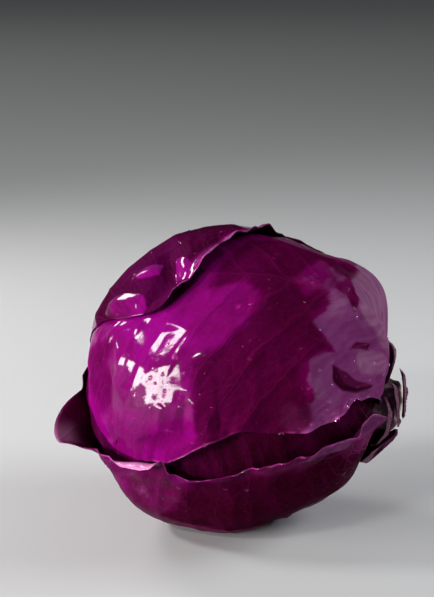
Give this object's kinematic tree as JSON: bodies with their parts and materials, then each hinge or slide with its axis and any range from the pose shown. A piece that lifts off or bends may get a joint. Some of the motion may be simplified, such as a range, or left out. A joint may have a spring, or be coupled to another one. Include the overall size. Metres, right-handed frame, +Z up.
{
  "type": "cabbage head",
  "caption": "Red cabbage head lying on its side: a closed inner head in wrapped outer leaves with curled edges, with a cut stem and trimmed leaf bases.",
  "frame": {"origin": "centre of the bounding box's footprint, on the surface that the head rests on", "axes": "+Z up; +X points from the crown towards the stem end, close to the stem axis, which dips below it by about 12 degrees; -Y is the side seen in the picture"},
  "size_m": [0.1884, 0.1708, 0.166],
  "materials": {
    "inner_leaf": "waxy deep purple leaf, wet",
    "front_leaf": "wet magenta-purple leaf with a dull waxy bloom near the stem",
    "top_leaf": "wet dark purple leaf with fine veins",
    "lower_leaf": "wet dark purple leaf with curled glossy edges",
    "cut_stem": "pale fibrous cut stem, slightly dried",
    "cut_leaf_base": "dull purple leaf stump with a pale cut edge"
  },
  "bodies": {
    "root": {"inner_head": "inner_leaf", "front_leaf": "front_leaf", "top_leaf": "top_leaf", "lower_leaf": "lower_leaf", "stem_stub": "cut_stem", "cut_leaf_base_1": "cut_leaf_base", "cut_leaf_base_2": "cut_leaf_base", "cut_leaf_base_3": "cut_leaf_base", "cut_leaf_base_4": "cut_leaf_base", "cut_leaf_base_5": "cut_leaf_base"}
  },
  "joints": []
}
